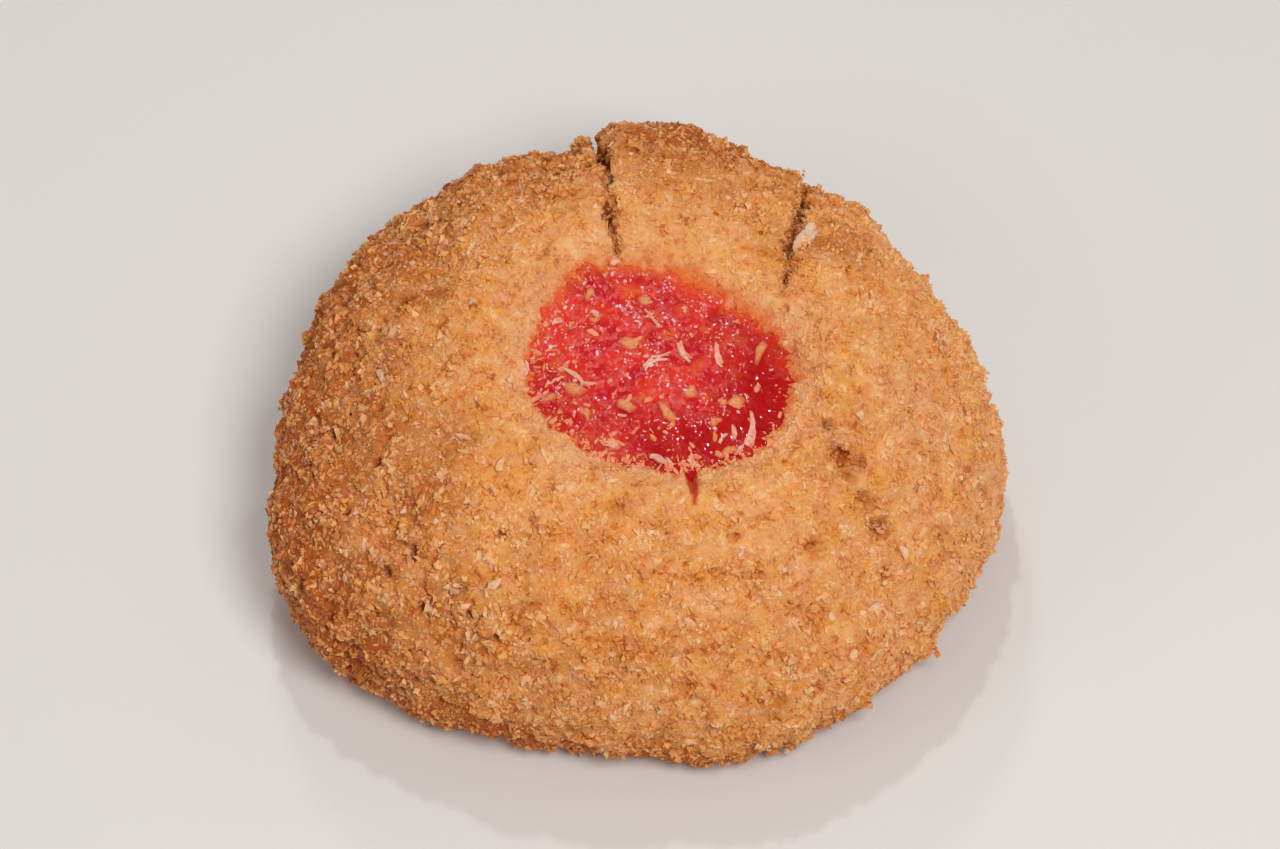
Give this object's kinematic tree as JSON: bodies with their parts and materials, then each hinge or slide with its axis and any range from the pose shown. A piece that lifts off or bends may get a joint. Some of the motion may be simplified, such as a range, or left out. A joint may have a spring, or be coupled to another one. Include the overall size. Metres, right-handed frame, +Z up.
{
  "type": "coconut biscuit with jam centre",
  "caption": "Round domed coconut biscuit with a flat base, a cracked crumbly crust with shreds of coconut, and a thumbprint filled with red jam.",
  "frame": {"origin": "centre of the biscuit's outline on its flat base, the height zero being the base itself", "axes": "+Z up through the thumbprint, -Y to the front of the biscuit, +X to its right as seen from the front"},
  "size_m": [0.0558, 0.0552, 0.0226],
  "materials": {
    "crust": "matt, sandy baked crumb, golden with browner flanks and pale shreds of coconut",
    "jam": "glossy, wet red jam with a fine lumpy surface and pale shreds of coconut on it"
  },
  "bodies": {
    "root": {"biscuit": "crust", "jam": "jam"}
  },
  "joints": []
}
